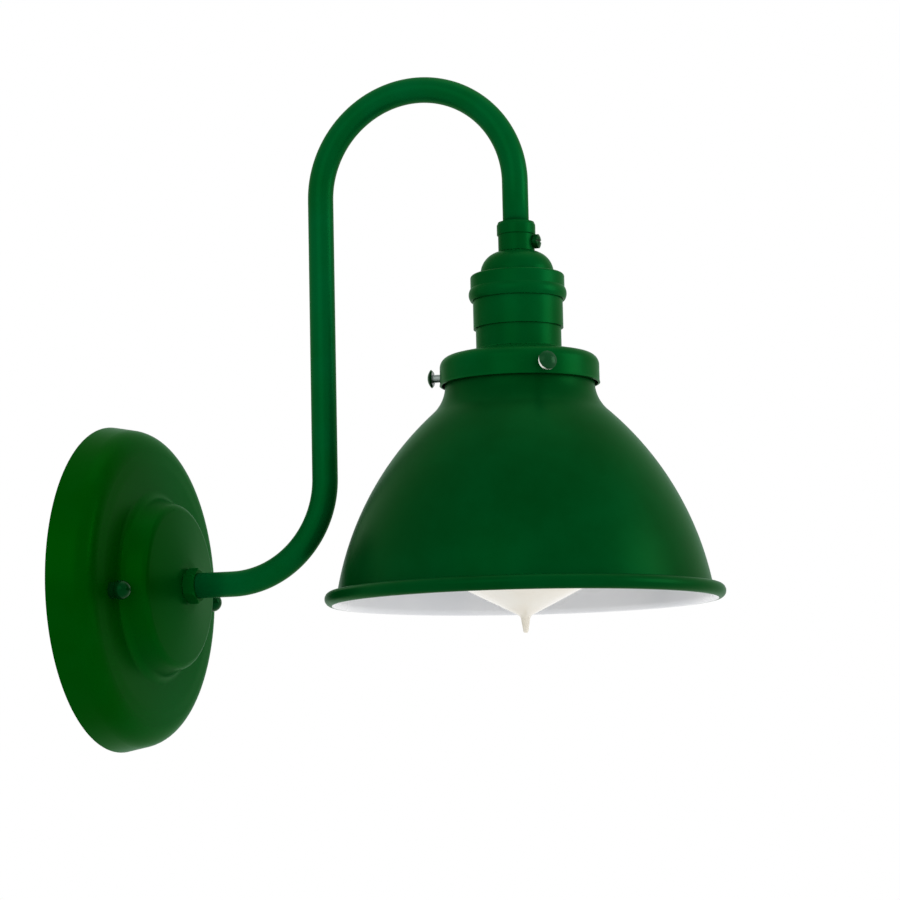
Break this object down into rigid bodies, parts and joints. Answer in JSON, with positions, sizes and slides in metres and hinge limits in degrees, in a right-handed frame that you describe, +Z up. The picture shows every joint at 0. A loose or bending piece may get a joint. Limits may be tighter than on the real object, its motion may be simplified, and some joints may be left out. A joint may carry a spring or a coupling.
{
  "type": "gooseneck wall sconce",
  "caption": "Wall light with a domed metal shade hung from a bent gooseneck tube on a round wall plate, lamp screwed in its lampholder.",
  "frame": {"origin": "on the wall plane, midway between the two slots for the box screws", "axes": "+Z up, -Y out of the wall towards the shade, +X to the right of someone who faces the wall"},
  "size_m": [0.1572, 0.2537, 0.2692],
  "materials": {
    "green_paint": "glossy dark green paint",
    "shade_enamel": "glossy dark green outside, white inside",
    "thumbscrew_metal": "painted head on a bare steel shank",
    "zinc_steel": "zinc plated",
    "green_zinc_steel": "green ground screw",
    "brass": "stamped",
    "copper": "bare wire",
    "black_plastic": "moulded",
    "black_insulation": "wire insulation",
    "white_insulation": "wire insulation",
    "green_insulation": "wire insulation",
    "fibre": "pressed fibre",
    "porcelain": "glazed porcelain",
    "lamp_glass": "warm white coated glass",
    "clear_glass": "clear",
    "nickel_wire": "drawn wire",
    "tungsten_wire": "drawn wire",
    "lamp_cap_brass": "thin pressed shell",
    "black_glass": "black glass",
    "solder": "solder dome"
  },
  "bodies": {
    "fixture": {"canopy": "green_paint", "crossbar": "zinc_steel", "canopy_studs": "zinc_steel", "stud_lock_nuts": "zinc_steel", "ground_screw": "green_zinc_steel", "ground_lead": "green_insulation", "arm_tube": "green_paint", "arm_hex_nut": "green_paint", "arm_lock_washer": "zinc_steel", "earth_tag": "brass", "arm_back_nut": "zinc_steel", "tube_bushing": "black_plastic", "line_lead": "black_insulation", "neutral_lead": "white_insulation", "lead_ends": "copper", "socket_cap": "green_paint", "socket_shell": "green_paint", "insulating_sleeve": "fibre", "socket_core": "porcelain", "screw_shell": "brass", "centre_contact": "brass", "terminal_plates": "brass", "terminal_screws": "brass", "shade_holder": "green_paint", "clamp_ring": "zinc_steel", "shade": "shade_enamel"},
    "lamp_tip": {"lamp_contact": "solder"},
    "lamp": {"lamp_glass": "lamp_glass", "lamp_stem": "clear_glass", "lamp_inner_leads": "nickel_wire", "lamp_supports": "nickel_wire", "lamp_filament": "tungsten_wire", "lamp_cap_shell": "lamp_cap_brass", "lamp_cap_insulator": "black_glass"},
    "thumbscrew_left": {"thumbscrew_left": "thumbscrew_metal"},
    "thumbscrew_front": {"thumbscrew_front": "thumbscrew_metal"},
    "thumbscrew_rear": {"thumbscrew_rear": "thumbscrew_metal"},
    "cap_set_screw": {"cap_set_screw": "green_paint"},
    "ball_nut_left": {"ball_nut_left": "green_paint"},
    "ball_nut_right": {"ball_nut_right": "green_paint"}
  },
  "joints": [
    {"name": "lamp_travel", "type": "slide", "parent": "fixture", "child": "lamp_tip", "axis": [0, 0, -1], "range_m": [0, 0.0182]},
    {"name": "lamp_turn", "type": "hinge", "parent": "lamp_tip", "child": "lamp", "pos_m": [0, -0.1751, 0.1], "axis": [0, 0, -1], "range_deg": [0, 1800]},
    {"name": "thumbscrew_left_travel", "type": "slide", "parent": "fixture", "child": "thumbscrew_left", "axis": [-0.0872, 0.9962, 0], "range_m": [0, 0.001]},
    {"name": "thumbscrew_front_travel", "type": "slide", "parent": "fixture", "child": "thumbscrew_front", "axis": [-0.8192, -0.5736, 0], "range_m": [0, 0.001]},
    {"name": "thumbscrew_rear_travel", "type": "slide", "parent": "fixture", "child": "thumbscrew_rear", "axis": [0.9063, -0.4226, 0], "range_m": [0, 0.001]},
    {"name": "cap_set_screw_travel", "type": "slide", "parent": "fixture", "child": "cap_set_screw", "axis": [0, -1, 0], "range_m": [0, 0.0015]},
    {"name": "ball_nut_left_travel", "type": "slide", "parent": "fixture", "child": "ball_nut_left", "axis": [0, -1, 0], "range_m": [0, 0.005]},
    {"name": "ball_nut_right_travel", "type": "slide", "parent": "fixture", "child": "ball_nut_right", "axis": [0, -1, 0], "range_m": [0, 0.005]}
  ],
  "couplings": [
    {"joint": "lamp_travel", "follows": "lamp_turn", "m_per_rad": 0.00057757}
  ]
}
